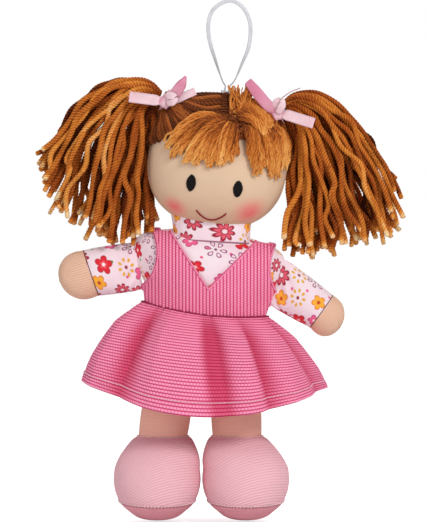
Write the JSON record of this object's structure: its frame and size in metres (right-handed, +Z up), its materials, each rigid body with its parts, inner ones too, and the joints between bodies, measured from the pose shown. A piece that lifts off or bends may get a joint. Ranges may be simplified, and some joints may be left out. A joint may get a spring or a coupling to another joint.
{
  "type": "rag doll",
  "caption": "Stuffed cloth doll with tied yarn hair, printed top and knitted pinafore dress, hung from a ribbon loop on its crown.",
  "frame": {"origin": "inner top of the hanging loop, where a hook or a finger holds the doll", "axes": "+Z up, +X to the right of someone who faces the doll, the doll's face looks along -Y"},
  "size_m": [0.2117, 0.091, 0.3027],
  "materials": {
    "face_cotton": "smooth woven cream cotton",
    "black_thread": "satin-stitched black thread",
    "crimson_thread": "stitched dark red thread",
    "brown_yarn": "plied golden brown yarn",
    "brown_thread": "dark brown stitching",
    "orange_yarn": "brushed orange-brown yarn",
    "pink_satin": "light pink satin ribbon",
    "white_ribbon": "thin white ribbon",
    "printed_cotton": "off-white cotton with a small floral print",
    "pink_rib_knit": "pink rib knit",
    "peach_knit": "fine peach rib knit",
    "pink_knit": "fine light pink rib knit",
    "sole_knit": "darker pink knit sole panel"
  },
  "bodies": {
    "head": {"head": "face_cotton", "eye_left": "black_thread", "eye_right": "black_thread", "mouth_stitch": "crimson_thread", "hair_cap_left": "brown_yarn", "hair_cap_right": "brown_yarn", "parting_seam": "brown_thread", "fringe_left": "orange_yarn", "fringe_right": "orange_yarn", "hair_tie_left": "brown_yarn", "hair_tie_right": "brown_yarn", "bow_left": "pink_satin", "bow_right": "pink_satin", "loop_stitch": "white_ribbon", "hang_loop": "white_ribbon"},
    "ponytail_left": {"ponytail_left": "brown_yarn"},
    "ponytail_right": {"ponytail_right": "brown_yarn"},
    "neck": {"neck": "printed_cotton"},
    "torso": {"torso": "printed_cotton", "dress_bodice": "pink_rib_knit", "dress_skirt": "pink_rib_knit"},
    "arm_left": {"sleeve_left": "printed_cotton", "hand_left": "peach_knit"},
    "arm_right": {"sleeve_right": "printed_cotton", "hand_right": "peach_knit"},
    "hips": {"hip_seam": "printed_cotton"},
    "leg_left": {"leg_left": "peach_knit", "foot_left": "pink_knit", "sole_left": "sole_knit"},
    "leg_right": {"leg_right": "peach_knit", "foot_right": "pink_knit", "sole_right": "sole_knit"}
  },
  "joints": [
    {"name": "ponytail_left_swing", "type": "hinge", "parent": "head", "child": "ponytail_left", "pos_m": [-0.04443, 0, -0.05378], "axis": [0, 1, 0], "range_deg": [0, 45], "stiffness_Nm_per_rad": 0.004},
    {"name": "ponytail_right_swing", "type": "hinge", "parent": "head", "child": "ponytail_right", "pos_m": [0.03475, 0, -0.06112], "axis": [0, -1, 0], "range_deg": [0, 45], "stiffness_Nm_per_rad": 0.004},
    {"name": "head_turn", "type": "hinge", "parent": "head", "child": "neck", "pos_m": [-0.0107, 0, -0.138], "axis": [0, 0, 1], "range_deg": [-25, 25], "stiffness_Nm_per_rad": 0.02},
    {"name": "neck_nod", "type": "hinge", "parent": "neck", "child": "torso", "pos_m": [-0.0107, 0, -0.138], "axis": [1, 0, 0], "range_deg": [-10, 12], "stiffness_Nm_per_rad": 0.05},
    {"name": "arm_left_swing", "type": "hinge", "parent": "torso", "child": "arm_left", "pos_m": [-0.0542, 0, -0.15285], "axis": [-0.1871, 0, 0.9823], "range_deg": [-40, 55], "stiffness_Nm_per_rad": 0.006},
    {"name": "arm_right_swing", "type": "hinge", "parent": "torso", "child": "arm_right", "pos_m": [0.02815, 0, -0.1615], "axis": [-0.3287, 0, -0.9444], "range_deg": [-40, 55], "stiffness_Nm_per_rad": 0.006},
    {"name": "sit_fold", "type": "hinge", "parent": "torso", "child": "hips", "pos_m": [-0.015, 0, -0.196], "axis": [-1, 0, 0], "range_deg": [-10, 60], "stiffness_Nm_per_rad": 0.01, "deforming": ["dress_skirt"]},
    {"name": "leg_left_swing", "type": "hinge", "parent": "hips", "child": "leg_left", "pos_m": [-0.0316, 0, -0.196], "axis": [-1, 0, 0], "range_deg": [-20, 15], "stiffness_Nm_per_rad": 0.008},
    {"name": "leg_right_swing", "type": "hinge", "parent": "hips", "child": "leg_right", "pos_m": [0.0021, 0, -0.196], "axis": [-1, 0, 0], "range_deg": [-20, 15], "stiffness_Nm_per_rad": 0.008}
  ]
}
